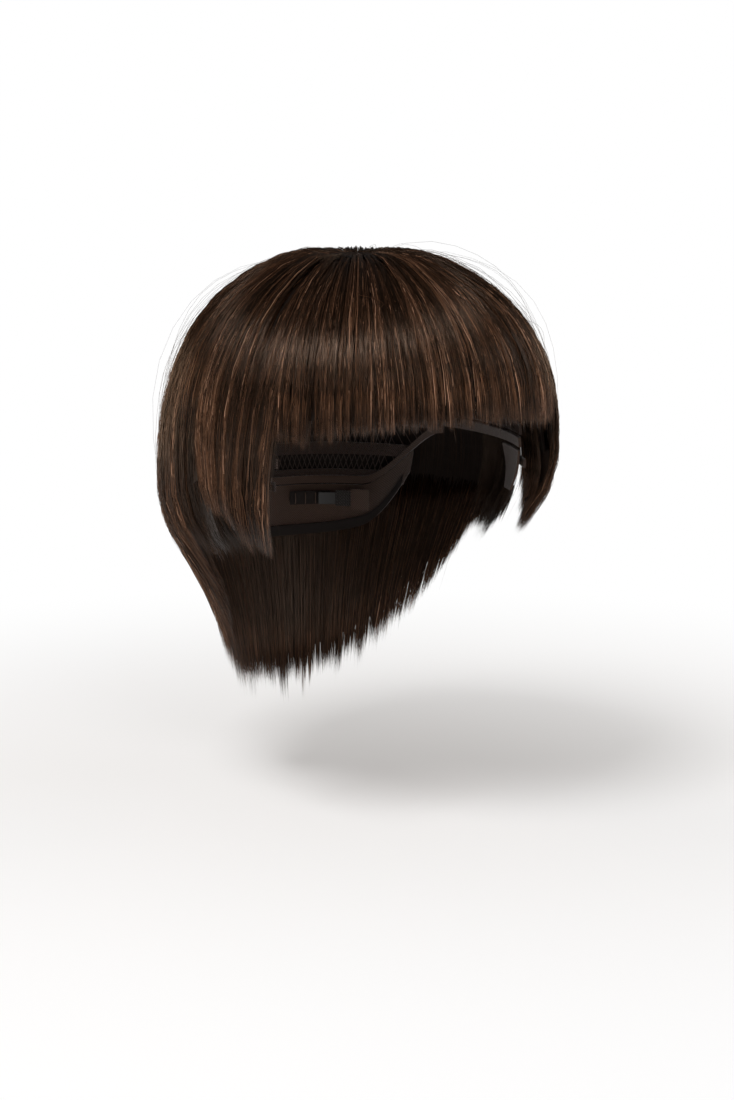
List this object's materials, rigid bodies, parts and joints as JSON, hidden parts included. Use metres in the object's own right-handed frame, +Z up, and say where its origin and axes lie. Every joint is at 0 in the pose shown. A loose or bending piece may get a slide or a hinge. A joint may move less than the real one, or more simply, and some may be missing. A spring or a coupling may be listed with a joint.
{
  "type": "costume wig",
  "caption": "Short straight-haired costume wig with a full fringe, pointed ear locks and longer nape, on a wefted net cap with bending ear tabs and nape adjusters.",
  "frame": {"origin": "inside top of the cap, where the crown of the head that wears it touches", "axes": "+Z up, the face looks towards -Y, the wearer's left ear towards +X"},
  "size_m": [0.1898, 0.2194, 0.236],
  "materials": {
    "hair": "straight dark brown fibre hair, satin shine",
    "weft": "machine-sewn track, matt thread",
    "net": "soft stretch net",
    "patch": "fine woven skin-coloured crown patch",
    "ribbon": "soft velour ribbon",
    "elastic": "ribbed woven elastic",
    "stay": "thin sprung strip",
    "hook": "moulded, slightly glossy"
  },
  "bodies": {
    "wig": {"parting_patch": "patch", "crown_net": "net", "front_band": "net", "side_panel_left": "net", "side_panel_right": "net", "back_net": "net", "nape_band": "net", "front_binding": "ribbon", "nape_binding": "ribbon", "loop_tape_left": "ribbon", "loop_tape_right": "ribbon", "strap_casing_left": "net", "strap_casing_right": "net", "weft_crown_1": "weft", "weft_crown_2": "weft", "weft_crown_3": "weft", "weft_crown_4": "weft", "weft_front_1": "weft", "weft_front_2": "weft", "weft_side_1_left": "weft", "weft_side_1_right": "weft", "weft_side_2_left": "weft", "weft_side_2_right": "weft", "weft_back_1": "weft", "weft_back_2": "weft", "weft_back_3": "weft", "weft_back_4": "weft", "weft_back_5": "weft", "weft_nape_1": "weft", "weft_nape_2": "weft", "hair_whorl": "hair", "hair_top_front": "hair", "hair_top_left": "hair", "hair_top_right": "hair", "hair_top_back": "hair", "hair_fringe": "hair", "hair_side_left": "hair", "hair_side_right": "hair", "hair_behind_ear_left": "hair", "hair_behind_ear_right": "hair", "hair_back_side_left": "hair", "hair_back_side_right": "hair", "hair_back": "hair", "hair_nape_upper": "hair", "hair_nape": "hair"},
    "tab_left": {"ear_tab_left": "net", "ear_stay_left": "stay", "weft_tab_left": "weft", "hair_lock_left": "hair"},
    "tab_right": {"ear_tab_right": "net", "ear_stay_right": "stay", "weft_tab_right": "weft", "hair_lock_right": "hair"},
    "adjuster_left": {"strap_left": "elastic", "strap_hook_left": "hook"},
    "adjuster_right": {"strap_right": "elastic", "strap_hook_right": "hook"}
  },
  "joints": [
    {"name": "ear_tab_left_bend", "type": "hinge", "parent": "wig", "child": "tab_left", "pos_m": [0.0705, -0.0325, -0.0794], "axis": [-0.2791, -0.9603, 0], "range_deg": [-4, 24]},
    {"name": "ear_tab_right_bend", "type": "hinge", "parent": "wig", "child": "tab_right", "pos_m": [-0.0705, -0.0325, -0.0794], "axis": [-0.2791, 0.9603, 0], "range_deg": [-4, 24]},
    {"name": "adjuster_left_pull", "type": "hinge", "parent": "wig", "child": "adjuster_left", "pos_m": [-0.0043, 0.0309, -0.119], "axis": [0, 0, 1], "range_deg": [0, 12]},
    {"name": "adjuster_right_pull", "type": "hinge", "parent": "wig", "child": "adjuster_right", "pos_m": [0.0043, 0.0309, -0.119], "axis": [0, 0, -1], "range_deg": [0, 12]}
  ]
}
